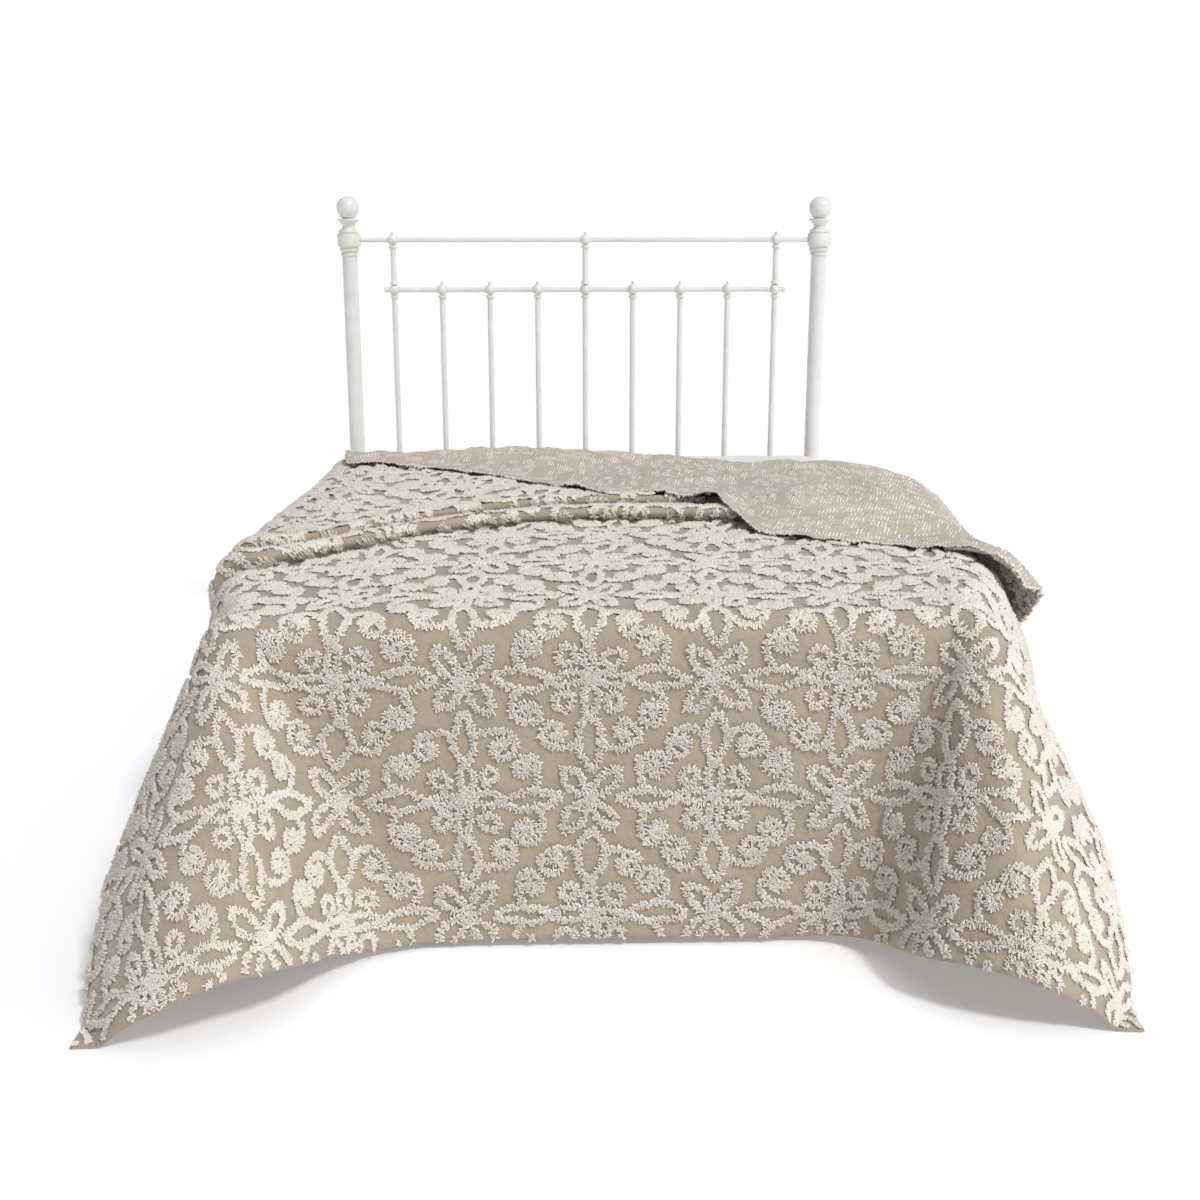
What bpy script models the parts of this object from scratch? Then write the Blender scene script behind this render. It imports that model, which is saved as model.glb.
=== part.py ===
import bpy
import numpy as np
from math import sin, cos, pi, radians

for ob in list(bpy.data.objects):
    bpy.data.objects.remove(ob, do_unlink=True)

# ---- sizes in metres; while building, y = 0 is the foot of the mattress and +Y runs to the head ----
cloth_width = 2.59
cloth_length = 2.62
cloth_thick = 0.003
mattress_top = 0.70        # height of the cloth's middle over the mattress edge
foot_radius = 0.05         # cloth round the foot edge
foot_drop = 0.715          # cloth from that edge down to the hem
plate_half = 0.73          # half width of the flat top at the foot
crown = 0.025
pulled = 0.25              # how far the head end is pulled towards +X
floor_gap = 0.004

mattress = dict(half=0.765, foot=0.008, head=2.03, bottom=0.3953, top=0.694, crown=0.018, corner=0.07, edge=0.040)
base = dict(half=0.76, foot=0.012, head=2.03, bottom=0.190, top=0.395, crown=0.0, corner=0.05, edge=0.012)

# distance behind the foot, extra half width of the top, shoulder radius, slant of the drop from vertical
side_drop = {
    -1: [(0.00, 0.020, 0.05, 18), (0.35, 0.045, 0.08, 15), (0.85, 0.060, 0.11, 16),
         (1.15, 0.045, 0.10, 15), (1.40, 0.025, 0.09, 13), (2.2, 0.0, 0.08, 10)],
    1: [(0.00, 0.020, 0.05, 20), (0.30, 0.058, 0.12, 24), (0.60, 0.090, 0.15, 28),
        (0.95, 0.075, 0.14, 25), (1.4, 0.03, 0.11, 16), (2.2, 0.0, 0.08, 10)],
}
# angle in the flat cloth from straight down the foot, outward part and forward part of the way it hangs from the corner
corner_flare = {
    -1: [(-27, -0.42, 0.04), (-17, -0.30, 0.12), (-7, -0.23, 0.28), (4, -0.15, 0.46), (13, -0.04, 0.53),
         (23, 0.08, 0.55), (31, 0.19, 0.51), (38, 0.26, 0.44), (46, 0.32, 0.35), (56, 0.365, 0.25),
         (70, 0.40, 0.12), (84, 0.375, -0.03), (96, 0.31, -0.17), (106, 0.25, -0.28)],
    1: [(-27, -0.42, 0.00), (-18, -0.31, 0.05), (-9, -0.24, 0.17), (1, -0.18, 0.41), (11, -0.06, 0.52),
        (21, 0.06, 0.55), (30, 0.18, 0.51), (38, 0.25, 0.44), (46, 0.33, 0.35), (56, 0.385, 0.25),
        (70, 0.44, 0.12), (84, 0.44, -0.02), (96, 0.40, -0.16), (106, 0.34, -0.28)],
}
# crosswise tucks: distance behind the foot, how far each end bows, cloth taken, steepest lean in degrees
tucks = [dict(at=0.78, left=-0.42, right=-0.06, cloth=0.066, lean=165),
         dict(at=0.92, left=-0.42, right=-0.06, cloth=0.060, lean=150)]
# the turned-down corner: a point on the fold, its slope, radius of the roll
hem_ears = [dict(s=-0.03, wide=0.050, deep=0.12, high=0.012),   # where the turned-down hem kicks up
            dict(s=0.43, wide=0.055, deep=0.14, high=0.022)]
fold = dict(x=-0.60, y=1.69, tilt=21.9, radius=0.030, rest=0.014, stand_off=0.018, drawn_in=0.25, taken_up=0.26,
            swung=0.16, corner=0.05)


def smooth(x):
    x = np.clip(x, 0, 1)
    return x * x * (3 - 2 * x)


def rows_at(rows, x):
    """a smooth curve through each column of a short table"""
    rows = np.array(rows, float)
    xs = rows[:, 0]
    i = np.clip(np.searchsorted(xs, x) - 1, 0, len(xs) - 2)
    h = xs[i + 1] - xs[i]
    u = np.clip((x - xs[i]) / h, 0, 1)
    out = []
    for c in range(1, rows.shape[1]):
        ys = rows[:, c]
        m = np.gradient(ys, xs)
        out.append((2*u**3 - 3*u**2 + 1) * ys[i] + (u**3 - 2*u**2 + u) * h * m[i]
                   + (3*u**2 - 2*u**3) * ys[i + 1] + (u**3 - u**2) * h * m[i + 1])
    return out


def drop(a, radius, slant, low_slant):
    """cloth length a past the edge: round the shoulder, down at the slant, then nearer to straight"""
    steps = 28
    top, low = np.radians(90 - slant), np.radians(90 - low_slant)
    out, down = np.zeros(np.shape(a)), np.zeros(np.shape(a))
    for k in range(steps):
        at = (k + 0.5) / steps * a
        bend = np.minimum(at / radius, top + (low - top) * smooth((at - 0.20) / 0.20))
        out = out + np.cos(bend) * a / steps
        down = down + np.sin(bend) * a / steps
    return out, down, np.minimum(a / radius, top + (low - top) * smooth((a - 0.20) / 0.20))


def flare(side, a, b, rounding=0.10):
    """cloth hanging from a mattress corner, a across and b down in the flat; gives outward, forward, down"""
    r = np.hypot(a, b)
    turn = np.degrees(np.arctan2(a, b))
    ox, oy = rows_at(corner_flare[side], np.clip(turn, -27, 106))
    oz = np.sqrt(np.maximum(1 - ox**2 - oy**2, 0.01))
    ux, uy = np.sin(np.radians(turn)), np.cos(np.radians(turn))
    pts = np.zeros(r.shape + (3,))
    steps = 16
    rr = np.minimum(r, rounding)
    for k in range(steps):
        w = smooth((k + 0.5) / steps * rr / rounding)
        d = np.stack([(1 - w) * ux + w * ox, (1 - w) * uy + w * oy, w * oz], -1)
        pts += d / np.linalg.norm(d, axis=-1, keepdims=True) * (rr / steps)[..., None]
    return pts + np.stack([ox, oy, oz], -1) * np.maximum(r - rounding, 0)[..., None]


def draped(x, below, y, lift):
    """where a place on the cloth comes to lie: x across, below the foot edge, y behind it, lift off the surface"""
    pts = np.zeros(x.shape + (3,))
    for side in (-1, 1):
        m = (x < 0) if side < 0 else (x >= 0)
        s, v, yy, hh, bb = np.abs(x[m]), np.maximum(y[m], 0), y[m], lift[m], below[m]
        wide, radius, slant = rows_at(side_drop[side], v)
        half = plate_half + wide * smooth(v / 0.3)
        out, down, bend = drop(np.maximum(s - half, 0), radius, slant, np.minimum(slant, 9))
        dome = crown * (1 - np.clip(np.minimum(s, half) / half, 0, 1) ** 2)
        wave = (0.012 if side < 0 else 0.018) * smooth((s - half - radius) / 0.4) * np.sin(v * 2 * pi / 0.62 + (0.6 if side < 0 else 2.0)) * smooth(v / 0.4)
        top = np.stack([np.minimum(s, half) + out + wave + np.sin(bend) * hh, foot_radius + yy,
                        mattress_top - down + dome * (1 - np.exp(-(v + 0.04) / 0.35)) + np.cos(bend) * hh], -1)
        out_f, down_f, _ = drop(np.maximum(bb, 0), foot_radius, 1.5, 1.5)
        front = np.stack([s, foot_radius - out_f,
                          mattress_top - down_f + crown * (1 - np.clip(s / half, 0, 1) ** 2) * (1 - np.exp(-0.04 / 0.35))], -1)
        cone = flare(side, s - plate_half, bb)
        corner = np.stack([plate_half + cone[..., 0], foot_radius - cone[..., 1], mattress_top - cone[..., 2]], -1)
        turn = np.degrees(np.arctan2(s - plate_half, bb))
        w = smooth((turn + 34) / 18) * (1 - smooth((turn - 92) / 16))
        w = np.where((turn > -34) & (turn < 108), w, 0)[..., None]
        q = np.where((bb > 0)[..., None], front, top) * (1 - w) + corner * w
        q[..., 0] *= side
        pts[m] = q
    short = np.maximum(floor_gap - pts[..., 2], 0)     # cloth that would go below the floor runs out along it
    away = pts[..., :2] - np.stack([np.where(x < 0, -plate_half, plate_half), np.full(x.shape, foot_radius)], -1)
    pts[..., :2] += away / (np.linalg.norm(away, axis=-1, keepdims=True) + 1e-6) * (short * 0.45)[..., None]
    pts[..., 2] = np.maximum(pts[..., 2], floor_gap)
    return pts


def bow(k, s):
    x = np.clip(s / 0.78, -1.0, 1.0)
    return np.where(x < 0, tucks[k]['left'], tucks[k]['right']) * np.abs(x) ** 2.2


def along(s, v):
    """distance behind the foot edge and height over the bed for cloth lengths v (same shape as s), tucks included"""
    step = 0.0025
    fine = np.arange(0, 2.4, step)
    far, high = np.zeros(v.shape), np.zeros(v.shape)
    for i in range(v.shape[0]):
        si = s[i, 0]
        lean = np.zeros_like(fine)
        fade = 1 - (smooth((si - 0.40) / 0.40) if si > 0 else smooth((-si - 0.68) / 0.34))
        gone = 0.0
        for k, t in enumerate(tucks):
            start = t['at'] + float(bow(k, si)) + gone
            part = radians(t['lean']) * fade * np.sin(pi * np.clip((fine - start) / t['cloth'], 0, 1)) ** 2
            rise = np.sum(np.sin(part)) * step
            fall = np.sin(pi * np.clip((fine - start - t['cloth']) / 0.16, 0, 1)) ** 2
            lean += part - np.arctan(rise / (np.sum(fall) * step + 1e-9) * fall)
            gone += np.sum(1 - np.cos(part)) * step
        far[i] = np.where(v[i] < 0, v[i], np.interp(v[i], fine, np.cumsum(np.cos(lean)) * step - step * np.cos(lean[0])))
        high[i] = np.interp(v[i], fine, np.cumsum(np.sin(lean)) * step)
    return far, high


def cloth_middle(s, t):
    """middle surface of the bedspread for flat coordinates s (across) and t (from the foot hem)"""
    y, h = along(s, t - foot_drop)
    x = s + pulled * smooth(y / 1.8) * (0.6 + 0.4 * smooth((s + 1.295) / 1.6))
    flat = draped(x, foot_drop - t, y, h)
    nx, ny = sin(radians(fold['tilt'])), cos(radians(fold['tilt']))
    past = np.maximum((x - fold['x']) * nx + (y - fold['y']) * ny, 0) * smooth((x + 0.80) / 0.16)
    r = fold['radius']
    back = np.maximum(past - pi * r, 0)
    roll = np.minimum(past / r, pi)
    move = r * np.sin(roll) - back - past
    lift = r * (1 - np.cos(roll)) - (2 * r - fold['rest']) * smooth(back / 0.35)
    off = fold['stand_off'] * smooth(back / 0.1) + fold['corner'] * smooth((s - 1.0) / 0.3) * smooth((back - 0.3) / 0.5)
    lift += off * smooth((s - 0.85) / 0.45) + h
    x2, y2 = x + move * nx, y + move * ny
    y2 = y2 + fold['taken_up'] * smooth((s - 0.45) / 0.85) * smooth(back / 0.75)
    x2 = x2 + fold['swung'] * smooth((s - 0.55) / 0.75) * smooth(back / 0.75)
    x2 = x2 - fold['drawn_in'] * np.maximum(x2 - 0.80, 0) * smooth(back / 0.1)
    over_tucks = np.interp(y2, [0.62, 0.80, 1.1, 1.3], [0, 0.03, 0.03, 0]) * (1 + 0.7 * smooth((x2 - 0.35) / 0.2))
    lift += over_tucks * (1 - smooth((np.abs(x2) - 0.75) / 0.2)) * smooth(back / 0.1)
    for ear in hem_ears:
        near = smooth((t - cloth_length + ear['deep']) / ear['deep']) ** 1.5
        lift += ear['high'] * np.exp(-((s - ear['s']) / ear['wide']) ** 2) * near
    zero, e = np.zeros(x.shape), 0.004
    over = draped(x2, -y2, y2, zero)
    dx = draped(x2 + e, -y2, y2, zero) - draped(x2 - e, -y2, y2, zero)
    dy = draped(x2, -y2 - e, y2 + e, zero) - draped(x2, -y2 + e, y2 - e, zero)
    n = np.cross(dx, dy)
    n /= np.linalg.norm(n, axis=-1, keepdims=True) + 1e-9
    return np.where((past > 0)[..., None], over + n * lift[..., None], flat)


def lines(pieces):
    """a line every so often: rows of (from, to, how many)"""
    out = []
    for lo, hi, n in pieces:
        out += list(np.linspace(lo, hi, n, endpoint=False))
    return np.array(out + [pieces[-1][1]])


def node(name, verts, faces, mat):
    me = bpy.data.meshes.new(name)
    me.from_pydata([tuple(map(float, v)) for v in verts], [], faces)
    me.materials.append(mat)
    me.validate()
    ob = bpy.data.objects.new(name, me)
    bpy.context.scene.collection.objects.link(ob)
    for p in me.polygons:
        p.use_smooth = True
    return ob


def closed_sheet(name, mid, thick, mat):
    """two skins either side of a grid of points, joined round the edge"""
    du, dv = np.gradient(mid, axis=0), np.gradient(mid, axis=1)
    n = np.cross(du, dv)
    n /= np.linalg.norm(n, axis=-1, keepdims=True) + 1e-12
    a, b = mid.shape[:2]
    verts = np.concatenate([(mid + n * thick / 2).reshape(-1, 3), (mid - n * thick / 2).reshape(-1, 3)])
    idx = np.arange(a * b).reshape(a, b)
    low = idx + a * b
    faces = []
    for i in range(a - 1):
        for j in range(b - 1):
            faces.append((idx[i, j], idx[i + 1, j], idx[i + 1, j + 1], idx[i, j + 1]))
            faces.append((low[i, j], low[i, j + 1], low[i + 1, j + 1], low[i + 1, j]))
    rim = [(i, 0) for i in range(a)] + [(a - 1, j) for j in range(1, b)]
    rim += [(i, b - 1) for i in range(a - 2, -1, -1)] + [(0, j) for j in range(b - 2, 0, -1)]
    for p, q in zip(rim, rim[1:] + rim[:1]):
        faces.append((idx[q], idx[p], low[p], low[q]))
    return node(name, verts, [tuple(int(v) for v in f) for f in faces], mat)


def rounded_block(name, spec, mat, per_corner=6):
    """a box with rounded corners and edges and a slightly domed top, from rings of one outline"""
    mid_y, len_half = (spec['foot'] + spec['head']) / 2, (spec['head'] - spec['foot']) / 2
    e = spec['edge']
    rings = [(e, spec['bottom'])]
    rings += [(e * (1 - sin(a)), spec['bottom'] + e * (1 - cos(a))) for a in (pi / 6, pi / 3, pi / 2)]
    rings += [(e * (1 - cos(a)), spec['top'] - e * (1 - sin(a))) for a in (0, pi / 6, pi / 3, pi / 2)]
    rings += [(d, spec['top'] + spec['crown'] * (1 - np.exp(-(d - e) / 0.45))) for d in (0.10, 0.20, 0.35, 0.55, spec['half'] - 0.02)]
    verts, faces = [], []
    for inset, z in rings:
        hx, hy = spec['half'] - inset, len_half - inset
        c = max(min(spec['corner'] - inset * 0.6, hx * 0.9), 0.012)
        for cx, cy, start in ((hx - c, hy - c, 0), (-hx + c, hy - c, 90), (-hx + c, -hy + c, 180), (hx - c, -hy + c, 270)):
            for k in range(per_corner):
                a = radians(start + 90 * k / (per_corner - 1))
                verts.append((cx + c * cos(a), mid_y + cy + c * sin(a), z))
    n = 4 * per_corner
    for r in range(len(rings) - 1):
        for k in range(n):
            q = (k + 1) % n
            faces.append((r * n + k, r * n + q, (r + 1) * n + q, (r + 1) * n + k))
    faces.append(tuple(reversed(range(n))))
    faces.append(tuple(range((len(rings) - 1) * n, len(rings) * n)))
    return node(name, verts, faces, mat)


def turned(name, profile, place, mat, axis='z', sides=20):
    """a lathe shape: profile rows of (distance along the axis, radius), closed at both ends"""
    verts, faces = [], []
    for d, r in profile:
        for k in range(sides):
            a = 2 * pi * k / sides
            p = (r * cos(a), r * sin(a), d) if axis == 'z' else (d, r * cos(a), r * sin(a))
            verts.append((p[0] + place[0], p[1] + place[1], p[2] + place[2]))
    for r in range(len(profile) - 1):
        for k in range(sides):
            q = (k + 1) % sides
            faces.append((r * sides + k, r * sides + q, (r + 1) * sides + q, (r + 1) * sides + k))
    faces.append(tuple(reversed(range(sides))))
    faces.append(tuple(range((len(profile) - 1) * sides, len(profile) * sides)))
    return node(name, verts, faces, mat)


def bar(name, lo, hi, mat):
    x0, y0, z0 = lo
    x1, y1, z1 = hi
    verts = [(x0, y0, z0), (x1, y0, z0), (x1, y1, z0), (x0, y1, z0), (x0, y0, z1), (x1, y0, z1), (x1, y1, z1), (x0, y1, z1)]
    faces = [(0, 3, 2, 1), (4, 5, 6, 7), (0, 1, 5, 4), (1, 2, 6, 5), (2, 3, 7, 6), (3, 0, 4, 7)]
    ob = node(name, verts, faces, mat)
    for p in ob.data.polygons:
        p.use_smooth = False
    return ob


def paint(name, colour, rough, metal=0.0):
    m = bpy.data.materials.new(name)
    m.use_nodes = True
    b = m.node_tree.nodes['Principled BSDF']
    b.inputs['Base Color'].default_value = (*colour, 1)
    b.inputs['Roughness'].default_value = rough
    b.inputs['Metallic'].default_value = metal
    return m


cloth_mat = paint('tufted_cotton', (0.62, 0.53, 0.44), 0.95)
bed_mat = paint('white_cotton', (0.80, 0.79, 0.77), 0.9)
metal_mat = paint('painted_metal', (0.80, 0.78, 0.72), 0.35)
wood_mat = paint('plain_wood', (0.50, 0.38, 0.25), 0.6)

# ---- the bedspread: lines are close at the shoulders, the tucks and the fold ----
across = lines([(-1.295, -0.90, 6), (-0.90, -0.62, 6), (-0.62, 0.62, 11), (0.62, 1.02, 8), (1.02, 1.295, 5)])
cloth_rows = [(0, 0.60, 7), (0.60, 0.74, 5), (0.74, 1.42, 6), (1.42, 1.62, 14), (1.62, 1.76, 4)]   # foot hem to behind the tucks
fold_rows = [(0, 1, 5), (1, 2, 7), (2, 3, 12)]                                             # up to the fold, the roll, the turned part
w, k = lines(cloth_rows), lines(fold_rows)[1:]
t_grid = np.zeros((len(across), len(w) + len(k)))
s_grid = np.repeat(across[:, None], t_grid.shape[1], 1)
for i, s in enumerate(across):
    t_try = np.linspace(1.5, cloth_length, 400)[None, :]
    y_try, _ = along(np.full(t_try.shape, s), t_try - foot_drop)
    x_try = s + pulled * smooth(y_try / 1.8) * (0.6 + 0.4 * smooth((s + 1.295) / 1.6))
    reach = (x_try - fold['x']) * sin(radians(fold['tilt'])) + (y_try - fold['y']) * cos(radians(fold['tilt']))
    roll = pi * fold['radius']
    at_fold = min(float(np.interp(0, reach[0], t_try[0])), cloth_length - roll - 0.08)
    t = w + bow(0, s) * np.clip((w - foot_drop) / 0.74, 0, 1) * smooth((w - foot_drop) / 0.3)
    room = min(1.0, (at_fold - 0.05 - foot_drop) / (t[-1] - foot_drop))
    t_grid[i, :len(w)] = np.where(t < foot_drop, t, foot_drop + (t - foot_drop) * room)
    t_grid[i, len(w):] = np.interp(k, [0, 1, 2, 3], [t_grid[i, len(w) - 1], at_fold, at_fold + roll, cloth_length])
closed_sheet('bedspread', cloth_middle(s_grid, t_grid), cloth_thick, cloth_mat)

# ---- the bed it falls over ----
rounded_block('mattress', mattress, bed_mat)
rounded_block('foundation', base, bed_mat)

board_y, post_x, gap = 2.082, 0.75, 0.0006
post = [(0, 0.021), (0.012, 0.0245), (0.05, 0.0245), (1.335, 0.0240), (1.341, 0.031), (1.352, 0.031), (1.357, 0.0365),
        (1.397, 0.0365), (1.402, 0.031), (1.413, 0.0195), (1.424, 0.0205), (1.436, 0.034)]
post += [(1.475 + 0.0355 * sin(a), 0.0355 * cos(a)) for a in np.radians([-20, -5, 15, 35, 52, 68, 80, 87])]
for tag, sx in (('left', -1), ('right', 1)):
    turned('post_' + tag, post, (sx * post_x, board_y, 0), metal_mat, sides=24)


def rail(name, half, z, knobs, radius, mat, ball_ends=False, post_radius=0.0):
    """a thin rod with a small cast swelling at each crossing"""
    knob = [(-0.0165, 1.0), (-0.0150, 1.7), (-0.0080, 2.25), (0.0080, 2.25), (0.0150, 1.7), (0.0165, 1.0)]
    end = half if ball_ends else half - post_radius - gap
    prof = [(-end, radius)] if not ball_ends else [(-end - 0.013, radius * 0.6), (-end - 0.010, radius * 1.25), (-end - 0.004, radius * 1.25)]
    for x in knobs:
        prof += [(x + d, radius * f) for d, f in knob]
    prof += [(end, radius)] if not ball_ends else [(end + 0.004, radius * 1.25), (end + 0.010, radius * 1.25), (end + 0.013, radius * 0.6)]
    prof = sorted(prof)
    return turned(name, prof, (0, board_y, z), mat, axis='x', sides=12)


pitch = 0.153
tall = [-4 * pitch, 0, 4 * pitch]
rail('top_rail', post_x, 1.377, tall, 0.0075, metal_mat, post_radius=0.0366)
rail('mid_rail', 4 * pitch + 0.02, 1.221, [k * pitch for k in range(-4, 5)], 0.0075, metal_mat, ball_ends=True)
bar('low_rail', (-post_x + 0.0252, board_y - 0.011, 0.560), (post_x - 0.0252, board_y + 0.011, 0.592), metal_mat)
boss_half = 0.0075 * 2.25
for i, x in enumerate(tall):
    turned('upper_spindle_%d' % (i + 1), [(1.221 + boss_half + gap, 0.0088), (1.377 - boss_half - gap, 0.0088)], (x, board_y, 0), metal_mat, sides=12)
for i in range(9):
    turned('lower_spindle_%d' % (i + 1), [(0.592 + gap, 0.0088), (1.221 - boss_half - gap, 0.0088)], ((i - 4) * pitch, board_y, 0), metal_mat, sides=12)

rail_out, rail_in = 0.788, 0.766
for tag, sx in (('left', -1), ('right', 1)):
    xs = sorted((sx * rail_in, sx * rail_out))
    bar('side_rail_' + tag, (xs[0], 0.045, 0.128), (xs[1], 2.050, 0.186), metal_mat)
    turned('foot_leg_' + tag, [(0, 0.016), (0.006, 0.020), (0.1274, 0.026)], (sx * 0.70, 0.085, 0), metal_mat, sides=16)
bar('foot_rail', (-rail_in + gap, 0.045, 0.128), (rail_in - gap, 0.125, 0.164), metal_mat)
for i, y in enumerate((0.55, 1.00, 1.45, 1.90)):
    bar('slat_%d' % (i + 1), (-rail_in + gap, y - 0.04, 0.166), (rail_in - gap, y + 0.04, 0.1894), wood_mat)

# ---- the middle of the whole thing goes over the origin, standing on z = 0 ----
for ob in bpy.data.objects:
    if ob.name == 'foundation':
        ob.data.transform(ob.matrix_world)
pts = np.concatenate([np.array([v.co[:] for v in ob.data.vertices]) for ob in bpy.data.objects])
shift = (-(pts[:, 0].min() + pts[:, 0].max()) / 2, -(pts[:, 1].min() + pts[:, 1].max()) / 2, -pts[:, 2].min())
for ob in bpy.data.objects:
    for v in ob.data.vertices:
        v.co.x += shift[0]
        v.co.y += shift[1]
        v.co.z += shift[2]
print('shift', [round(float(v), 5) for v in shift])
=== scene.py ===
import math
from itertools import product
import bpy
import numpy as np
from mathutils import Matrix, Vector
from mathutils.bvhtree import BVHTree


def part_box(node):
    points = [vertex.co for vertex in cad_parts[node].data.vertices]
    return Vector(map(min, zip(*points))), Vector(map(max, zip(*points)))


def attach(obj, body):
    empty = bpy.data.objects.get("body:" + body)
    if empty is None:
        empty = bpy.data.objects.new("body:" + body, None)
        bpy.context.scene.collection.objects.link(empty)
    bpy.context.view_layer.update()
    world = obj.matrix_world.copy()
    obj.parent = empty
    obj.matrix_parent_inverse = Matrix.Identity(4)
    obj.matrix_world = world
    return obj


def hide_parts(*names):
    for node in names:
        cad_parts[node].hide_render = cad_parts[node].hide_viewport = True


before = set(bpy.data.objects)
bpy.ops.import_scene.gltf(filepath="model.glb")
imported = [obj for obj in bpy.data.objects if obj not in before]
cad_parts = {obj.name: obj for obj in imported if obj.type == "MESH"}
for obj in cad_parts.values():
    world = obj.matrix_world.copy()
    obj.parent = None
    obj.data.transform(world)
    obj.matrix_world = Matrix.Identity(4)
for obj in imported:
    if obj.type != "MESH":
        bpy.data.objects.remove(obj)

scene = bpy.context.scene
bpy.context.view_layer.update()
mattressLow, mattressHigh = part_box("mattress")
random = np.random.default_rng(1904)

# the bedspread's shape, in metres and degrees
cloth = dict(width=2.59, length=2.62, thick=0.003)
bed = dict(top=0.70, footRadius=0.05, footDrop=0.715, plateHalf=0.73, crown=0.025, pulled=0.25,
           footRoom=0.008, floorGap=0.004, runOut=0.45, flareRound=0.10)
sideDrop = {  # behind the foot, extra half width, shoulder radius, slant of the drop
    -1: [(0.00, 0.020, 0.05, 18), (0.35, 0.045, 0.08, 15), (0.85, 0.060, 0.11, 16),
         (1.15, 0.045, 0.10, 15), (1.40, 0.025, 0.09, 13), (2.2, 0.0, 0.08, 10)],
    1: [(0.00, 0.020, 0.05, 20), (0.30, 0.058, 0.12, 24), (0.60, 0.090, 0.15, 28),
        (0.95, 0.075, 0.14, 25), (1.4, 0.03, 0.11, 16), (2.2, 0.0, 0.08, 10)],
}
cornerFlare = {  # angle in the flat cloth, outward part, forward part
    -1: [(-27, -0.42, 0.04), (-17, -0.30, 0.12), (-7, -0.23, 0.28), (4, -0.15, 0.46), (13, -0.04, 0.53),
         (23, 0.08, 0.55), (31, 0.19, 0.51), (38, 0.26, 0.44), (46, 0.32, 0.35), (56, 0.365, 0.25),
         (70, 0.40, 0.12), (84, 0.375, -0.03), (96, 0.31, -0.17), (106, 0.25, -0.28)],
    1: [(-27, -0.42, 0.00), (-18, -0.31, 0.05), (-9, -0.24, 0.17), (1, -0.18, 0.41), (11, -0.06, 0.52),
        (21, 0.06, 0.55), (30, 0.18, 0.51), (38, 0.25, 0.44), (46, 0.33, 0.35), (56, 0.385, 0.25),
        (70, 0.44, 0.12), (84, 0.44, -0.02), (96, 0.40, -0.16), (106, 0.34, -0.28)],
}
tucks = [dict(at=0.78, left=-0.42, right=-0.06, cloth=0.066, lean=165),
         dict(at=0.92, left=-0.42, right=-0.06, cloth=0.060, lean=150)]
tuckEnds = dict(left=(0.68, 0.34), right=(0.40, 0.40), fall=0.16, cornerAt=0.78)  # where and over what length they fade
sideWave = dict(long=0.62, high={-1: 0.012, 1: 0.018}, start={-1: 0.6, 1: 2.0})  # soft waves down the sides
fold = dict(x=-0.60, y=1.69, tilt=21.9, radius=0.030, rest=0.014, standOff=0.018,  # where it runs and how it rolls
            drawnIn=0.25, takenUp=0.26, swung=0.16, corner=0.05)  # how the turned part lies over
hemEars = [dict(s=-0.03, wide=0.050, deep=0.12, high=0.012),  # the turned hem kicks up in two places
           dict(s=0.43, wide=0.055, deep=0.14, high=0.022)]
hemSag = dict(deep=0.15, across=(-0.26, -0.05, 0.03, 0.13, 0.24, 0.90, 1.10, 1.20, 1.30),
              low=(0, 0.022, 0.029, 0.029, 0, 0, 0.010, 0.017, 0.024))  # and settles onto the pile elsewhere
midX = (mattressLow[0] + mattressHigh[0]) / 2  # middle of the bed
footY = mattressLow[1] - bed["footRoom"]  # the drape is worked out from here
foldAcross, foldAlong = math.sin(math.radians(fold["tilt"])), math.cos(math.radians(fold["tilt"]))


def smooth(x):
    x = np.clip(x, 0, 1)
    return x * x * (3 - 2 * x)


def rise(x, start, over):  # 0 up to start, then smoothly up to 1
    return smooth((x - start) / over)


def nearHem(t, deep):  # 0 inside the cloth, 1 at its head hem
    return smooth((t - cloth["length"] + deep) / deep)


def blended(u, a, b, slopeA, slopeB, h=1.0):  # a smooth curve from a to b with the slopes given
    return ((2*u**3 - 3*u**2 + 1) * a + (u**3 - 2*u**2 + u) * h * slopeA
            + (3*u**2 - 2*u**3) * b + (u**3 - u**2) * h * slopeB)


def unit(v):
    return v / (np.linalg.norm(v, axis=-1, keepdims=True) + 1e-9)


def rowsAt(rows, x):  # reads a table between its rows
    rows = np.array(rows, float)
    xs = rows[:, 0]
    i = np.clip(np.searchsorted(xs, x) - 1, 0, len(xs) - 2)
    h = xs[i + 1] - xs[i]
    u = np.clip((x - xs[i]) / h, 0, 1)
    out = []
    for ys in rows.T[1:]:
        m = np.gradient(ys, xs)
        out.append(blended(u, ys[i], ys[i + 1], m[i], m[i + 1], h))
    return out


def overShoulder(a, radius, slant, lowSlant):  # cloth length a past the edge
    steps = 28
    top, low = np.radians(90 - slant), np.radians(90 - lowSlant)
    out = down = np.zeros(np.shape(a))
    for k in range(steps):
        at = (k + 0.5) / steps * a
        bend = np.minimum(at / radius, top + (low - top) * rise(at, 0.20, 0.20))
        out = out + np.cos(bend) * a / steps
        down = down + np.sin(bend) * a / steps
    return out, down, np.minimum(a / radius, top + (low - top) * rise(a, 0.20, 0.20))


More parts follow.
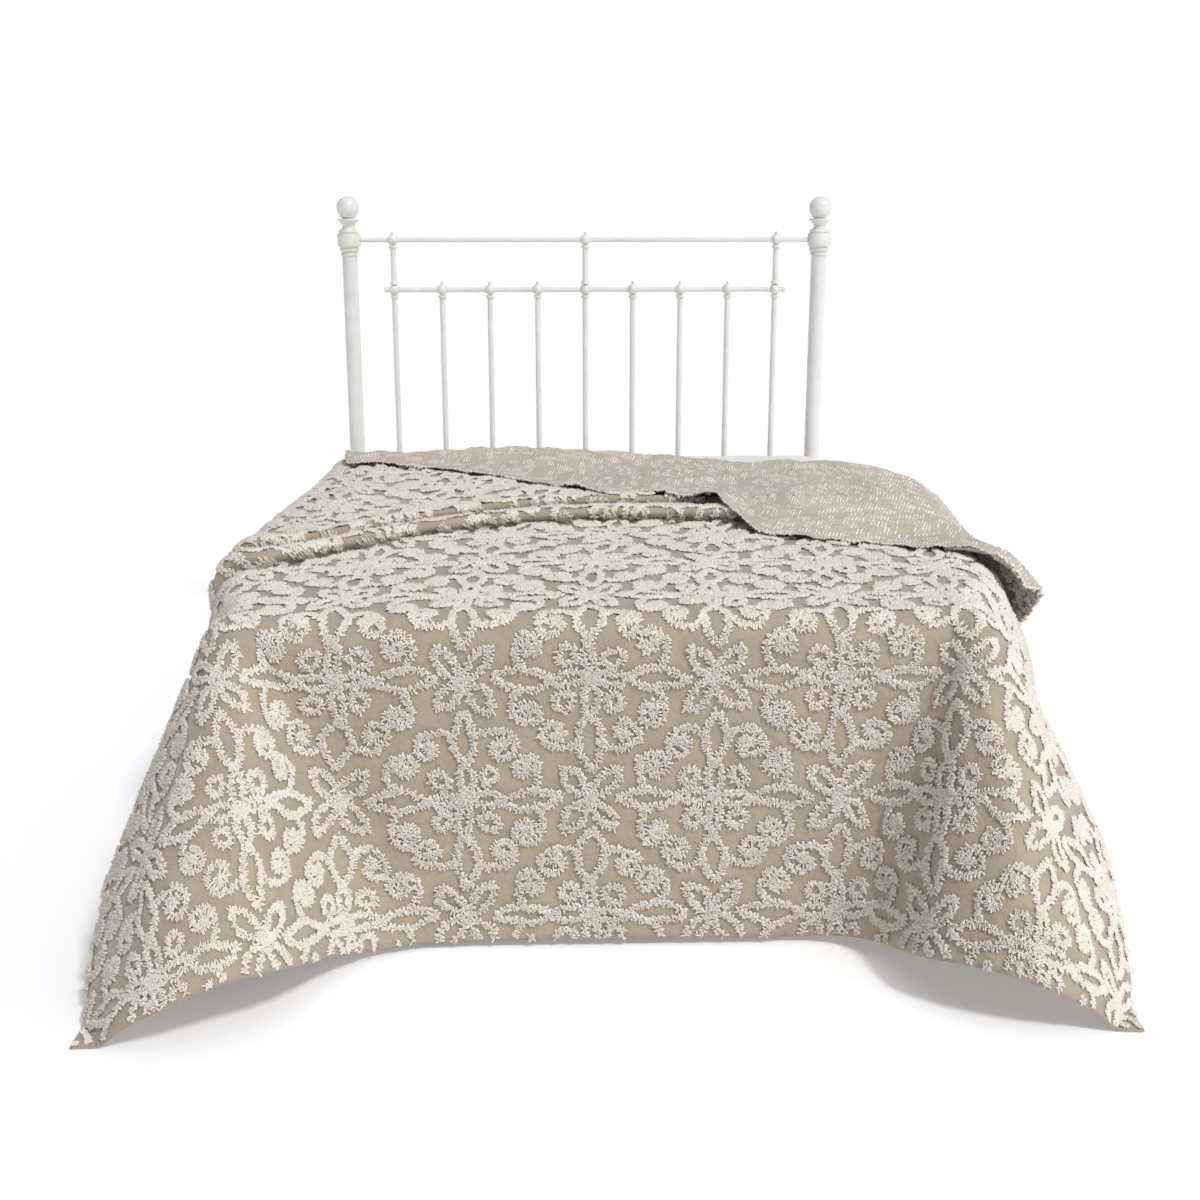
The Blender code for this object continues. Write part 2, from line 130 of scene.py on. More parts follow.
def flareFrom(side, a, b):  # cloth hanging from a mattress corner
    r = np.hypot(a, b)
    turn = np.degrees(np.arctan2(a, b))
    ox, oy = rowsAt(cornerFlare[side], turn)
    oz = np.sqrt(np.maximum(1 - ox**2 - oy**2, 0.01))
    ux, uy = np.sin(np.radians(turn)), np.cos(np.radians(turn))
    pts = np.zeros(r.shape + (3,))
    steps, rounding = 16, bed["flareRound"]
    rr = np.minimum(r, rounding)
    for k in range(steps):
        w = smooth((k + 0.5) / steps * rr / rounding)
        d = np.stack([(1 - w) * ux + w * ox, (1 - w) * uy + w * oy, w * oz], -1)
        pts += d / np.linalg.norm(d, axis=-1, keepdims=True) * (rr / steps)[..., None]
    return pts + np.stack([ox, oy, oz], -1) * np.maximum(r - rounding, 0)[..., None]


def overBed(x, below, y, lift):  # where a place on the cloth comes to lie
    pts = np.zeros(x.shape + (3,))
    plate, edge, topZ = bed["plateHalf"], bed["footRadius"], bed["top"]
    for side in (-1, 1):
        m = (x < 0) == (side < 0)
        s, v, yy, hh, bb = np.abs(x[m]), np.maximum(y[m], 0), y[m], lift[m], below[m]
        wide, radius, slant = rowsAt(sideDrop[side], v)
        half = plate + wide * rise(v, 0, 0.3)
        out, down, bend = overShoulder(np.maximum(s - half, 0), radius, slant, np.minimum(slant, 9))
        crown = bed["crown"] * (1 - np.clip(s / half, 0, 1) ** 2)
        swell = np.sin(v * 2 * np.pi / sideWave["long"] + sideWave["start"][side])
        wave = sideWave["high"][side] * rise(s - half - radius, 0, 0.4) * swell * rise(v, 0, 0.4)
        top = np.stack([np.minimum(s, half) + out + wave + np.sin(bend) * hh, edge + yy,
                        topZ - down + crown * (1 - np.exp(-(v + 0.04) / 0.35)) + np.cos(bend) * hh], -1)
        outF, downF, _ = overShoulder(np.maximum(bb, 0), edge, 1.5, 1.5)
        front = np.stack([s, edge - outF, topZ - downF + crown * (1 - np.exp(-0.04 / 0.35))], -1)
        cone = flareFrom(side, s - plate, bb)
        corner = np.array([plate, edge, topZ]) + cone * np.array([1, -1, -1])
        turn = np.degrees(np.arctan2(s - plate, bb))
        w = (rise(turn, -34, 18) * (1 - rise(turn, 92, 16)))[..., None]  # the flare takes over round the corner
        q = np.where((bb > 0)[..., None], front, top) * (1 - w) + corner * w
        q[..., 0] *= side
        pts[m] = q
    short = np.maximum(bed["floorGap"] - pts[..., 2], 0)  # what would go below the floor runs out along it
    away = pts[..., :2] - np.stack([np.where(x < 0, -plate, plate), np.full(x.shape, edge)], -1)
    pts[..., :2] += away / (np.linalg.norm(away, axis=-1, keepdims=True) + 1e-6) * (short * bed["runOut"])[..., None]
    pts[..., 2] = np.maximum(pts[..., 2], bed["floorGap"])
    return pts


def tuckBow(k, s):  # the tucks bow towards the foot at both ends
    x = np.clip(s / tuckEnds["cornerAt"], -1.0, 1.0)
    return np.where(x < 0, tucks[k]["left"], tucks[k]["right"]) * np.abs(x) ** 2.2


def behindAndHigh(s, v):  # the tucks, line by line down the cloth
    step = 0.0025
    fine = np.arange(0, 2.4, step)
    far, high = np.zeros(v.shape), np.zeros(v.shape)
    for i in range(v.shape[0]):
        si = s[i, 0]
        lean = np.zeros_like(fine)
        fade = 1 - rise(abs(si), *tuckEnds["right" if si > 0 else "left"])
        gone = 0.0
        for k, t in enumerate(tucks):
            start = t["at"] + float(tuckBow(k, si)) + gone
            part = np.radians(t["lean"]) * fade * np.sin(np.pi * np.clip((fine - start) / t["cloth"], 0, 1)) ** 2
            climb = np.sum(np.sin(part)) * step
            fall = np.sin(np.pi * np.clip((fine - start - t["cloth"]) / tuckEnds["fall"], 0, 1)) ** 2
            lean += part - np.arctan(climb / (np.sum(fall) * step + 1e-9) * fall)
            gone += np.sum(1 - np.cos(part)) * step
        reach = np.cumsum(np.cos(lean)) * step - step * np.cos(lean[0])
        far[i] = np.where(v[i] < 0, v[i], np.interp(v[i], fine, reach))
        high[i] = np.interp(v[i], fine, np.cumsum(np.sin(lean)) * step)
    return far, high


def pulledAcross(s, y):
    return s + bed["pulled"] * rise(y, 0, 1.8) * (0.6 + 0.4 * rise(s, -1.295, 1.6))


def pastFold(x, y):
    return (x - fold["x"]) * foldAcross + (y - fold["y"]) * foldAlong


def clothMiddle(s, t):  # middle of the cloth; s is across it, t up from the foot hem
    y, h = behindAndHigh(s, t - bed["footDrop"])
    x = pulledAcross(s, y)
    flat = overBed(x, bed["footDrop"] - t, y, h)
    past = np.maximum(pastFold(x, y), 0) * rise(x, -0.80, 0.16)
    r = fold["radius"] * (0.55 + 0.45 * rise(s, -0.80, 0.50))  # rolled tighter at its left end
    back = np.maximum(past - np.pi * r, 0)
    roll = np.minimum(past / r, np.pi)
    move = r * np.sin(roll) - back - past
    endY, _ = behindAndHigh(s[:, :1], np.full((len(s), 1), cloth["length"] - bed["footDrop"]))
    settled = np.clip(pastFold(pulledAcross(s[:, :1], endY), endY) - np.pi * r, 0.08, 0.35)
    lift = r * (1 - np.cos(roll)) - (2 * r - fold["rest"]) * smooth(back / settled)
    startsBack, farBack = rise(back, 0, 0.1), rise(back, 0, 0.75)
    atCorner = fold["standOff"] * startsBack + fold["corner"] * rise(s, 1.0, 0.3) * rise(back, 0.3, 0.5)
    lift += atCorner * rise(s, 0.85, 0.45) + h
    x2, y2 = x + move * foldAcross, y + move * foldAlong
    y2 += fold["takenUp"] * rise(s, 0.45, 0.85) * farBack
    x2 += fold["swung"] * rise(s, 0.55, 0.75) * farBack
    x2 -= fold["drawnIn"] * np.maximum(x2 - 0.80, 0) * startsBack
    overTucks = np.interp(y2, [0.62, 0.80, 1.1, 1.3], [0, 0.03, 0.03, 0])
    lift += overTucks * (1 + 0.7 * rise(x2, 0.35, 0.2)) * (1 - rise(np.abs(x2), 0.75, 0.2)) * startsBack
    lift -= np.interp(s, hemSag["across"], hemSag["low"]) * nearHem(t, hemSag["deep"])
    for ear in hemEars:
        lift += ear["high"] * np.exp(-((s - ear["s"]) / ear["wide"]) ** 2) * nearHem(t, ear["deep"]) ** 1.5
    zero, e = np.zeros(x.shape), 0.004
    over = overBed(x2, -y2, y2, zero)
    dx = overBed(x2 + e, -y2, y2, zero) - overBed(x2 - e, -y2, y2, zero)
    dy = overBed(x2, -y2 - e, y2 + e, zero) - overBed(x2, -y2 + e, y2 - e, zero)
    return np.where((past > 0)[..., None], over + unit(np.cross(dx, dy)) * lift[..., None], flat), past


def facing(mid):
    n = np.cross(np.gradient(mid, axis=0), np.gradient(mid, axis=1))
    return n / (np.linalg.norm(n, axis=-1, keepdims=True) + 1e-12)


creases = [  # troughs and ridges: across, up, length, turn in degrees, width, height
    (-0.42, 0.30, 0.60, 86, 0.050, 0.006), (-0.56, 0.22, 0.50, 80, 0.040, -0.006),
    (0.40, 0.28, 0.55, 95, 0.045, 0.005), (0.55, 0.30, 0.60, 97, 0.035, -0.008),
    (-0.80, 0.28, 0.55, 66, 0.045, 0.006), (-1.02, 0.36, 0.55, 58, 0.040, -0.006),
    (0.88, 0.32, 0.60, 112, 0.045, 0.006), (1.08, 0.45, 0.50, 122, 0.040, -0.006),
    (0.05, 0.20, 0.40, 88, 0.060, 0.003), (-0.15, 1.08, 0.80, 4, 0.030, 0.003),
    (0.20, 1.22, 0.70, -3, 0.028, 0.003), (-0.30, 1.33, 0.60, 5, 0.026, 0.004),
    (-0.25, 1.98, 0.90, -8, 0.035, 0.005), (-0.55, 2.12, 0.60, -14, 0.030, -0.004),
    (1.12, 1.10, 0.50, 70, 0.050, 0.008), (1.10, 1.45, 0.50, 92, 0.045, -0.007),
    (-1.08, 1.10, 0.45, 96, 0.045, -0.006), (-1.10, 1.50, 0.45, 84, 0.050, 0.007),
    (-1.10, 1.95, 0.45, 92, 0.040, -0.006), (0.60, 2.22, 0.90, -42, 0.022, 0.005),
    (0.72, 2.28, 0.80, -45, 0.020, -0.004), (0.95, 2.35, 0.70, -48, 0.026, 0.005),
    (0.42, 2.50, 0.50, -40, 0.020, -0.004), (0.30, 2.42, 0.60, -38, 0.020, 0.004),
    (0.85, 2.52, 0.50, -44, 0.022, -0.004), (1.10, 2.10, 0.60, -52, 0.024, -0.005),
    (0.05, 2.52, 0.50, -36, 0.020, 0.003),
]
ripple = dict(turn=-46, above=1.98, slant=0.45, over=0.25, apart=0.058, high=0.0055, hemBand=0.10, atHem=0.75)
pucker = dict(high=0.00045, waves=9, turnStep=0.7, closest=42, closeStep=9)  # of the ground between the tufted lines


def turned(s, t, degrees):  # along and across a direction in the flat cloth
    c, d = math.cos(math.radians(degrees)), math.sin(math.radians(degrees))
    return s * c + t * d, -s * d + t * c


def creaseHeight(s, t):
    h = np.zeros(s.shape)
    for s0, t0, long, turn, wide, high in creases:
        along, across = turned(s - s0, t - t0, turn)
        across += 0.012 * np.sin(along * 9 + s0 * 20)
        h += high * np.exp(-(across / wide) ** 2 - (along / (long / 2)) ** 4)
    along, across = turned(s, t, ripple["turn"])
    onFlap = smooth((t - ripple["above"] + ripple["slant"] * (s + 0.1)) / ripple["over"])
    onFlap *= (1 - ripple["atHem"] * nearHem(t, ripple["hemBand"]))
    wander = 0.9 * np.sin(3.1 * along + 14 * across) + 0.7 * np.sin(5.3 * along - 9 * across + 1.0)
    broad = np.sin(2 * np.pi * across / ripple["apart"] + wander) * (0.6 + 0.4 * np.sin(4.1 * along + 21 * across))
    fine = np.sin(2 * np.pi * across / (ripple["apart"] * 0.57) + 1.7 * wander + 1.0)
    h += ripple["high"] * onFlap * (broad + 0.5 * fine)
    h -= 0.004 * onFlap  # ripples don't raise the cloth
    for k in range(pucker["waves"]):
        a, w = pucker["turnStep"] * k, pucker["closest"] + pucker["closeStep"] * k
        h += pucker["high"] * np.sin(w * (s * math.cos(a) + t * math.sin(a)) + 2.1 * k + 1.5 * np.sin(7 * t + k))
    return h


def lyingCloth(s, t):  # middle of the cloth with its creases, and which way it faces
    mid, past = clothMiddle(s, t)
    n = facing(mid)
    mid += n * creaseHeight(s, t)[..., None] * rise(mid[..., 2:3], 0.006, 0.03)
    mid[..., 2] = np.maximum(mid[..., 2], bed["floorGap"])
    return mid, n, past


def evenLines(pieces):
    out = []
    for lo, hi, n in pieces:
        out += list(np.linspace(lo, hi, n, endpoint=False))
    return np.array(out + [pieces[-1][1]])


def gridFaces(index):
    return np.stack([index[:-1, :-1], index[1:, :-1], index[1:, 1:], index[:-1, 1:]], -1).reshape(-1, 4)


def ringFaces(rings, count):  # bands between rings of points, with a cap at each end
    start = np.arange(rings - 1)[:, None] * count
    a = np.arange(count)
    b = (a + 1) % count
    belts = np.stack([start + a, start + b, start + b + count, start + a + count], -1).reshape(-1, 4)
    return [belts, a[::-1][None, :], ((rings - 1) * count + a)[None, :]]


def newMesh(name, verts, faces, uv=None, faceMaterial=None):  # faces: arrays of corners, each (how many, corners)
    me = bpy.data.meshes.new(name)
    verts = np.asarray(verts, np.float32)
    me.vertices.add(len(verts))
    me.vertices.foreach_set("co", verts.reshape(-1))
    corners = np.concatenate([f.reshape(-1) for f in faces]).astype(np.int32)
    sizes = np.concatenate([np.full(len(f), f.shape[1]) for f in faces]).astype(np.int32)
    starts = np.concatenate([[0], np.cumsum(sizes)[:-1]]).astype(np.int32)
    me.loops.add(len(corners))
    me.loops.foreach_set("vertex_index", corners)
    me.polygons.add(len(sizes))
    me.polygons.foreach_set("loop_start", starts)
    if faceMaterial is not None:
        me.polygons.foreach_set("material_index", np.asarray(faceMaterial, np.int32))
    if uv is not None:
        layer = me.uv_layers.new(name="flat")
        layer.data.foreach_set("uv", np.asarray(uv, np.float32)[corners].reshape(-1))
    me.update(calc_edges=True)
    me.validate()
    me.polygons.foreach_set("use_smooth", np.ones(len(me.polygons), bool))
    ob = bpy.data.objects.new(name, me)
    scene.collection.objects.link(ob)
    return ob


def toWorld(pts):
    return np.asarray(pts) + (midX, footY, 0.0)


def startMaterial(name, sockets):
    m = bpy.data.materials.new(name)
    m.use_nodes = True
    for key, v in sockets.items():
        m.node_tree.nodes["Principled BSDF"].inputs[key].default_value = v
    return m, m.node_tree


def addNode(tree, kind, where, *feeds, **values):  # values are numbers, settings or sockets to link
    n = tree.nodes.new("ShaderNode" + kind)
    n.location = where
    for key, v in [*values.items(), *enumerate(feeds)]:
        if isinstance(v, bpy.types.NodeSocket):
            tree.links.new(v, n.inputs[key])
        elif isinstance(key, int) or key in n.inputs:
            n.inputs[key].default_value = v
        else:
            setattr(n, key, v)
    return n


def rampBetween(tree, source, stops, where):
    r = addNode(tree, "ValToRGB", where, Fac=source)
    e = r.color_ramp.elements
    while len(e) < len(stops):
        e.new(0.5)
    for i, (at, colour) in enumerate(stops):
        e[i].position = at
        e[i].color = (*colour, 1)
    return r.outputs[0]


def noise(tree, where, vector, scale, detail, roughness=0.5, distortion=0.0):
    return addNode(tree, "TexNoise", where, Vector=vector, Scale=scale, Detail=detail, Roughness=roughness,
                   Distortion=distortion).outputs["Fac"]


def bands(tree, where, vector, perMetre, distortion, detail, way="X"):
    return addNode(tree, "TexWave", where, Vector=vector, Scale=perMetre / waveUnit, Distortion=distortion,
                   Detail=detail, bands_direction=way).outputs["Fac"]


def times(tree, where, a, b, *plus):
    return addNode(tree, "Math", where, a, b, *plus, operation="MULTIPLY_ADD" if plus else "MULTIPLY").outputs[0]


def bumped(tree, where, height, strength, distance, **under):
    return addNode(tree, "Bump", where, Height=height, Strength=strength, Distance=distance, **under).outputs[0]


def finishMaterial(m, colour, bump=None):
    shader = m.node_tree.nodes["Principled BSDF"]
    m.node_tree.links.new(colour, shader.inputs["Base Color"])
    if bump:
        m.node_tree.links.new(bump, shader.inputs["Normal"])
    return m


groundLook = dict(light=(0.455, 0.375, 0.293), dark=(0.344, 0.282, 0.216), threadsPerMetre=1400, bump=0.00012,
                  rumplesPerMetre=26, rumple=0.010, rough=0.92)
reverseLook = dict(light=(0.600, 0.520, 0.430), dark=(0.430, 0.365, 0.290), threadsPerMetre=1400, twillPerMetre=150,
                   bump=0.0004, rumplesPerMetre=22, rumple=0.010, rough=0.9)
# the root colour is painted shade: each yarn is darkened towards its root, where the tufts shade each other
pileLook = dict(light=(0.910, 0.858, 0.778), dark=(0.690, 0.628, 0.542), root=(0.40, 0.325, 0.25), rough=0.95)
waveUnit = 6.283  # turns bands per metre into a wave texture's scale


def groundCloth(name, look):
    m, tree = startMaterial(name, {"Roughness": look["rough"], "Specular IOR Level": 0.2,
                                   "Sheen Weight": 0.45, "Sheen Roughness": 0.45})
    uv = addNode(tree, "UVMap", (-1500, 0), uv_map="flat").outputs[0]
    stretch = addNode(tree, "Mapping", (-1300, 60), Vector=uv, Scale=(60, 900, 1)).outputs[0]
    broad = noise(tree, (-1100, 300), uv, 9.0, 4.0, 0.6)
    slub = noise(tree, (-1100, 60), stretch, 1.0, 3.0, 0.7)
    across = bands(tree, (-1100, -200), uv, look["threadsPerMetre"], 0.6, 1.0)
    upward = bands(tree, (-1100, -480), uv, look["threadsPerMetre"], 0.6, 1.0, "Y")
    height = times(tree, (-850, -300), across, upward)
    tone = times(tree, (-480, 100), times(tree, (-650, 100), slub, 0.45, broad), 0.72)
    if "twillPerMetre" in look:  # patches of slanted ribs
        slanted = addNode(tree, "Mapping", (-1300, -760), Vector=uv, Rotation=(0, 0, math.radians(17))).outputs[0]
        ribs = bands(tree, (-1100, -760), slanted, look["twillPerMetre"], 1.2, 2.0)
        patches = noise(tree, (-1100, -1020), uv, 14.0, 2.0)
        sharper = addNode(tree, "MapRange", (-850, -1020), patches, 0.42, 0.62).outputs[0]
        ribbed = times(tree, (-650, -860), ribs, sharper)
        height = times(tree, (-450, -500), ribbed, 0.8, height)
        # painted highlight: the raised ribs are also painted lighter than the cloth between them
        tone = times(tree, (-300, 100), ribbed, 0.22, tone)
    colour = rampBetween(tree, tone, [(0.30, look["dark"]), (0.72, look["light"])], (-150, 100))
    rumpled = noise(tree, (-650, -560), uv, look["rumplesPerMetre"], 4.0, 0.55, 0.8)
    softer = bumped(tree, (-350, -560), rumpled, 0.7, look["rumple"])
    return finishMaterial(m, colour, bumped(tree, (-150, -300), height, 0.6, look["bump"], Normal=softer))


def pileYarn(name, look):
    m, tree = startMaterial(name, {"Roughness": look["rough"], "Specular IOR Level": 0.15,
                                   "Sheen Weight": 0.25, "Sheen Roughness": 0.6})
    place = addNode(tree, "TexCoord", (-900, 0)).outputs["Object"]
    fine = noise(tree, (-700, 120), place, 260.0, 2.0, 0.7)
    both = times(tree, (-500, 0), noise(tree, (-700, -120), place, 22.0, 2.0), 0.35, fine)
    colour = rampBetween(tree, both, [(0.42, look["dark"]), (0.80, look["light"])], (-300, 0))
    # painted shade: the yarn colour is multiplied down from the tip to the root colour
    tip = addNode(tree, "Attribute", (-500, -300), attribute_name="tip").outputs["Fac"]
    paintedRootShade = rampBetween(tree, tip, [(0.0, look["root"]), (0.62, (1, 1, 1))], (-300, -300))
    shaded = addNode(tree, "Mix", (-80, 0), data_type="RGBA", blend_type="MULTIPLY")
    shaded.inputs[0].default_value = 1.0
    tree.links.new(colour, shaded.inputs[6])
    tree.links.new(paintedRootShade, shaded.inputs[7])
    return finishMaterial(m, shaded.outputs[2])


frontMaterial = groundCloth("ground_weave", groundLook)
reverseMaterial = groundCloth("reverse_weave", reverseLook)
pileMaterial = pileYarn("chenille_yarn", pileLook)
print("cloth materials made")

# the woven cloth; its mesh lines are given as from, to and how many
weave = dict(
    across=[(-1.295, -0.90, 24), (-0.90, -0.62, 22), (-0.62, 0.62, 58), (0.62, 1.02, 28), (1.02, 1.295, 18)],
    upToTucks=[(0, 0.60, 40), (0.60, 0.74, 14), (0.74, 1.42, 42), (1.42, 1.62, 38), (1.62, 1.76, 12)],
    turned=[(0, 1, 10), (1, 2, 12), (2, 3, 96)],
)


def clothLines(across, upToTucks, turned):
    s, w, k = evenLines(across), evenLines(upToTucks), evenLines(turned)[1:]
    t = np.zeros((len(s), len(w) + len(k)))
    drop = bed["footDrop"]
    for i, si in enumerate(s):
        tTry = np.linspace(1.5, cloth["length"], 400)[None, :]
        yTry, _ = behindAndHigh(np.full(tTry.shape, si), tTry - drop)
        reach = pastFold(pulledAcross(si, yTry), yTry)
        roll = np.pi * fold["radius"]
        atFold = min(float(np.interp(0, reach[0], tTry[0])), cloth["length"] - roll - 0.08)
        rows = w + tuckBow(0, si) * np.clip((w - drop) / 0.74, 0, 1) * smooth((w - drop) / 0.3)
        room = min(1.0, (atFold - 0.05 - drop) / (rows[-1] - drop))
        t[i, :len(w)] = np.where(rows < drop, rows, drop + (rows - drop) * room)
        t[i, len(w):] = np.interp(k, [0, 1, 2, 3], [t[i, len(w) - 1], atFold, atFold + roll, cloth["length"]])
    return np.repeat(s[:, None], t.shape[1], 1), t


def wovenCloth():
    s, t = clothLines(**weave)
    mid, n, _ = lyingCloth(s, t)
    half = cloth["thick"] / 2
    a, b = mid.shape[:2]
    verts = np.concatenate([(mid + n * half).reshape(-1, 3), (mid - n * half).reshape(-1, 3)])
    verts[:, 2] = np.maximum(verts[:, 2], 0.001)
    idx = np.arange(a * b).reshape(a, b)
    front, back = gridFaces(idx), gridFaces(idx + a * b)[:, [0, 3, 2, 1]]
    rim = np.concatenate([idx[:, 0], idx[-1, 1:], idx[-2::-1, -1], idx[0, -2:0:-1]])
    nxt = np.roll(rim, -1)
    side = np.stack([nxt, rim, rim + a * b, nxt + a * b], -1)
    uv = np.concatenate([np.stack([s, t], -1).reshape(-1, 2)] * 2)
    kinds = np.concatenate([np.zeros(len(front)), np.ones(len(back)), np.zeros(len(side))])
    ob = newMesh("bedspread_cloth", toWorld(verts), [front, back, side], uv, kinds)
    ob.data.materials.append(frontMaterial)
    ob.data.materials.append(reverseMaterial)
    return ob


bedspread = wovenCloth()
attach(bedspread, "root")
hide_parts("bedspread")
print("woven cloth laid over the bed:", len(bedspread.data.polygons), "faces")

# the tufted design, drawn flat in metres
design = dict(repeat=0.508, columnAt=-0.036, rowAt=0.059, yarnStep=0.0034)


def petal(start, end, halfWidth, turn, blunt=1.0, n=26):  # a closed pointed outline along a direction
    u = np.linspace(0, 1, n)
    w = halfWidth * np.sin(np.pi * u ** blunt) ** 0.85
    along = start + (end - start) * u
    one = np.stack([w, along], 1)
    other = np.stack([-w[::-1], along[::-1]], 1)
    p = np.concatenate([one, other[1:]])
    c, s = math.cos(math.radians(turn)), math.sin(math.radians(turn))
    return np.stack([p[:, 0] * c + p[:, 1] * s, -p[:, 0] * s + p[:, 1] * c], 1)


def ring(x, y, radius, n=22):
    a = np.linspace(0, 2 * np.pi, n)
    return np.stack([x + radius * np.cos(a), y + radius * np.sin(a)], 1)


def curl(x, y, outer, inner, startAngle, turns, n=48):  # a spiral that winds in
    u = np.linspace(0, 1, n)
    a = np.radians(startAngle + turns * 360 * u)
    r = outer + (inner - outer) * u ** 0.8
    return np.stack([x + r * np.cos(a), y + r * np.sin(a)], 1)


def link(points, n=10):  # a smooth line through a few named places
    p = np.array(points, float)
    u = np.linspace(0, len(p) - 1, n * (len(p) - 1))
    i = np.clip(u.astype(int), 0, len(p) - 2)
    m = np.gradient(p, axis=0)
    return blended((u - i)[:, None], p[i], p[i + 1], m[i], m[i + 1])


def medallion():
    lines = []
    for turn, reach, wide in ((0, 0.188, 0.024), (90, 0.200, 0.0195), (180, 0.188, 0.024), (270, 0.200, 0.0195)):
        lines.append(petal(0.002, 0.082, 0.0125, turn))
        lines.append(petal(0.078, reach, wide, turn, 0.90))
    for sx in (-1, 1):
        for sy in (-1, 1):
            quarter = [ring(0.048, 0.046, 0.0172),
                       link([(0.024, 0.132), (0.046, 0.146), (0.076, 0.146)]),
                       curl(0.073, 0.114, 0.032, 0.0105, 86, -1.22),
                       ring(0.071, 0.115, 0.0045, 8),
                       link([(0.139, 0.022), (0.151, 0.044), (0.152, 0.068)]),
                       curl(0.121, 0.070, 0.031, 0.0105, -4, 1.30),
                       ring(0.118, 0.068, 0.0045, 8)]
            lines += [line * np.array([sx, sy]) for line in quarter]
    return lines


def crossFlower():
    return [petal(0.003, 0.086, 0.0165, turn, 1.15) for turn in (41, 139, 221, 319)]


def yarnStations(line, step):  # even places along a line, with its direction
    seg = np.diff(line, axis=0)
    long = np.hypot(*seg.T)
    at = np.concatenate([[0], np.cumsum(long)])
    n = max(int(at[-1] / step), 2)
    u = (np.arange(n) + 0.5) / n * at[-1]
    i = np.clip(np.searchsorted(at, u) - 1, 0, len(seg) - 1)
    f = ((u - at[i]) / (long[i] + 1e-9))[:, None]
    return line[i] + seg[i] * f, seg[i] / (long[i] + 1e-9)[:, None]


def designStations():
    places, ways = [], []
    big, small = medallion(), crossFlower()
    rep = design["repeat"]
    for half, i, j in product((0, 1), range(-4, 4), range(-1, 7)):
        x = design["columnAt"] + rep * (i + half / 2)
        y = design["rowAt"] + rep * (j + half / 2)
        for lines, middle in ((big, (x, y)), (small, (x, y + rep / 2))):
            for line in lines:
                p, d = yarnStations(line, design["yarnStep"])
                places.append(p + middle)
                ways.append(d)
    return np.concatenate(places), np.concatenate(ways)


def handWarp(p):  # the design is never laid down quite evenly
    s, t = p.T
    ds = (0.0030 * np.sin(37 * t + 3.1 * np.sin(11 * s) + 1.0) + 0.0022 * np.sin(61 * s + 23 * t + 4.0)
          + 0.0016 * np.sin(97 * t - 41 * s))
    dt = (0.0030 * np.sin(41 * s + 2.7 * np.sin(13 * t) + 2.0) + 0.0022 * np.sin(57 * t - 29 * s + 0.7)
          + 0.0016 * np.sin(103 * s + 37 * t))
    return p + np.stack([ds, dt], 1)


halfWidth, clothLength = cloth["width"] / 2, cloth["length"]
drawn, drawnWays = designStations()
drawn = handWarp(drawn)
inside = (np.abs(drawn[:, 0]) < halfWidth - 0.003) & (drawn[:, 1] > 0.007) & (drawn[:, 1] < clothLength - 0.003)
stations, directions = drawn[inside], drawnWays[inside]
print("design drawn:", len(stations), "tuft places")

# a close map of the lying cloth, which the yarns are set on
mapS, mapT = np.linspace(-halfWidth, halfWidth, 300), np.linspace(0, clothLength, 720)
mapMid, mapNormal, mapPast = lyingCloth(*np.meshgrid(mapS, mapT, indexing="ij"))
mapFaces = gridFaces(np.arange(mapMid.shape[0] * mapMid.shape[1]).reshape(mapMid.shape[:2]))


def onMap(values, s, t):
    i = np.clip((s - mapS[0]) / (mapS[1] - mapS[0]), 0, len(mapS) - 1.001)
    j = np.clip((t - mapT[0]) / (mapT[1] - mapT[0]), 0, len(mapT) - 1.001)
    a, b = i.astype(int), j.astype(int)
    f, g = i - a, j - b
    if values.ndim == 3:
        f, g = f[..., None], g[..., None]
    return (values[a, b] * (1 - f) * (1 - g) + values[a + 1, b] * f * (1 - g)
            + values[a, b + 1] * (1 - f) * g + values[a + 1, b + 1] * f * g)


def shutIn(s, t):  # where cloth lies so close over the front that no yarn would be seen
    tree = BVHTree.FromPolygons(toWorld(mapMid.reshape(-1, 3)).tolist(), mapFaces.tolist())
    hidden = np.zeros(len(s), bool)
    test = np.nonzero(t > 0.9)[0]
    pos, nrm = toWorld(onMap(mapMid, s[test], t[test])), onMap(mapNormal, s[test], t[test])
    for k, (p, n) in enumerate(zip(pos, nrm)):
        n = Vector(n).normalized()
        side = n.orthogonal().normalized()
        other = n.cross(side)
        start = Vector(p) + n * 0.0006
        rays = [n] + [n + side * 1.3 * math.cos(a) + other * 1.3 * math.sin(a) for a in (0.4, 1.66, 2.91, 4.17, 5.43)]
        hidden[test[k]] = all(tree.ray_cast(start, r.normalized(), 0.16)[0] is not None for r in rays)
    return hidden


keep = ~shutIn(stations[:, 0], stations[:, 1])
stations, directions = stations[keep], directions[keep]
print("tuft places that show:", len(stations))

yarn = dict(reach=0.0122, wide=0.0044, high=0.0088, lean=0.85, crest=0.0106, crestLong=0.0080, lifted=0.42, sink=0.0008)


def stubShape(start, d, long, wide, high, sink, peakAt, lifted):
    # a short cut yarn: four corners and one peak, with the outer end held off the cloth
    e = np.stack([-d[:, 1], d[:, 0]], 1)
    tip = start + d * long
    peak = start + d * long * peakAt
    flat = np.stack([start - e * wide, start + e * wide, tip + e * wide * 0.78, tip - e * wide * 0.78, peak], 1)
    height = np.stack([np.full(len(d), -sink)] * 4 + [high[:, 0]], 1)
    height[:, 2:4] = high * lifted
    return flat, height


